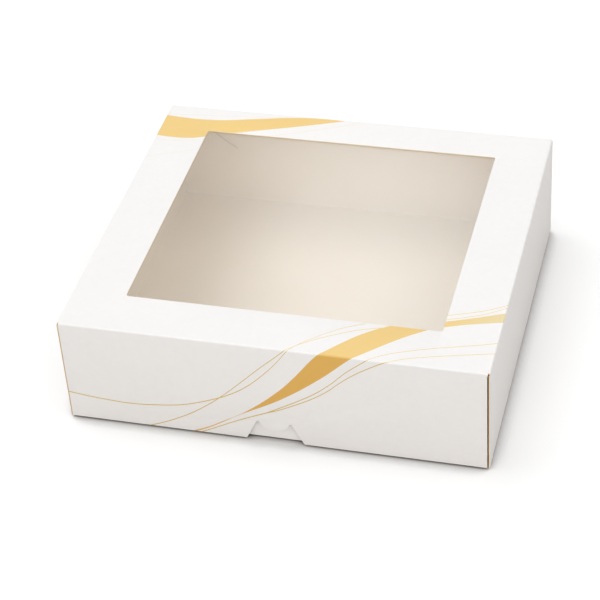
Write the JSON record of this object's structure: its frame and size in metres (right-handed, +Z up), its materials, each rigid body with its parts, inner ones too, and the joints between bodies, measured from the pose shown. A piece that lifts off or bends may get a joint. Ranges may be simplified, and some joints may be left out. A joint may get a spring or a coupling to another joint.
{
  "type": "cake box",
  "caption": "Folded white board cake box: shallow glued-corner tray, hinged lid with clear film window, three flaps hanging outside the tray, thumb notch in the front flap.",
  "frame": {"origin": "middle of the closed box's footprint, on the surface it stands on", "axes": "+Z up, +X along the lid's front edge to the right as seen from the front, -Y towards the front flap with the thumb notch"},
  "size_m": [0.23, 0.21, 0.065],
  "materials": {
    "lid_board": "white coated folding board, satin, printed with gold stripes, cream on its inner side",
    "tray_board": "the same board seen from its uncoated cream side, matte",
    "clear_film": "clear glossy plastic film"
  },
  "bodies": {
    "tray": {"tray_floor": "tray_board", "tray_front_wall": "tray_board", "tray_back_wall": "tray_board", "tray_left_wall": "tray_board", "tray_right_wall": "tray_board", "glue_flap_front_left": "tray_board", "glue_flap_front_right": "tray_board", "glue_flap_rear_left": "tray_board", "glue_flap_rear_right": "tray_board"},
    "lid": {"lid_panel": "lid_board", "window_film": "clear_film"},
    "front_flap": {"lid_front_flap": "lid_board"},
    "left_flap": {"lid_left_flap": "lid_board"},
    "right_flap": {"lid_right_flap": "lid_board"}
  },
  "joints": [
    {"name": "lid_crease", "type": "hinge", "parent": "tray", "child": "lid", "pos_m": [0, 0.1047, 0.0647], "axis": [-1, 0, 0], "range_deg": [0, 180]},
    {"name": "front_flap_crease", "type": "hinge", "parent": "lid", "child": "front_flap", "pos_m": [0, -0.1047, 0.0647], "axis": [-1, 0, 0], "range_deg": [0, 90]},
    {"name": "left_flap_crease", "type": "hinge", "parent": "lid", "child": "left_flap", "pos_m": [-0.1147, 0, 0.0647], "axis": [0, 1, 0], "range_deg": [0, 90]},
    {"name": "right_flap_crease", "type": "hinge", "parent": "lid", "child": "right_flap", "pos_m": [0.1147, 0, 0.0647], "axis": [0, -1, 0], "range_deg": [0, 90]}
  ]
}
